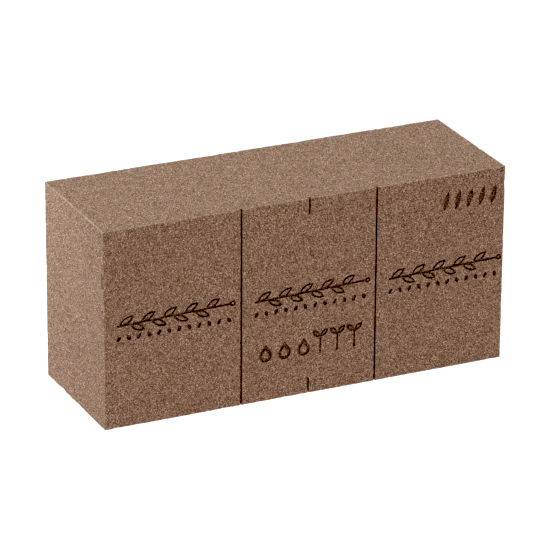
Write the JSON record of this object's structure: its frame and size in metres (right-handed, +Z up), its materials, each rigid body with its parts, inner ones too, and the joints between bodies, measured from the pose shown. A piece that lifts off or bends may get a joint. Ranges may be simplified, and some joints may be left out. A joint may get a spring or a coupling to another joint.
{
  "type": "floral foam brick",
  "caption": "Rigid rectangular floral foam brick, scored on one face into sections that part along the score lines, with shallow pressed leaf, seed and water drop marks.",
  "frame": {"origin": "middle of the base, on the surface the brick stands on", "axes": "+X along the brick's length, to the right as seen from the marked face; the marked face looks along -Y; +Z up"},
  "size_m": [0.23, 0.078, 0.11],
  "materials": {
    "foam": "fine open-cell rigid foam, dull brown, dusty and slightly crumbly, darker where it is pressed"
  },
  "bodies": {
    "centre": {"centre_section": "foam"},
    "left_end": {"left_section": "foam"},
    "right_end": {"right_section": "foam"}
  },
  "joints": [
    {"name": "left_part", "type": "slide", "parent": "centre", "child": "left_end", "axis": [-1, 0, 0], "range_m": [0, 0.02]},
    {"name": "right_part", "type": "slide", "parent": "centre", "child": "right_end", "axis": [1, 0, 0], "range_m": [0, 0.02]}
  ]
}
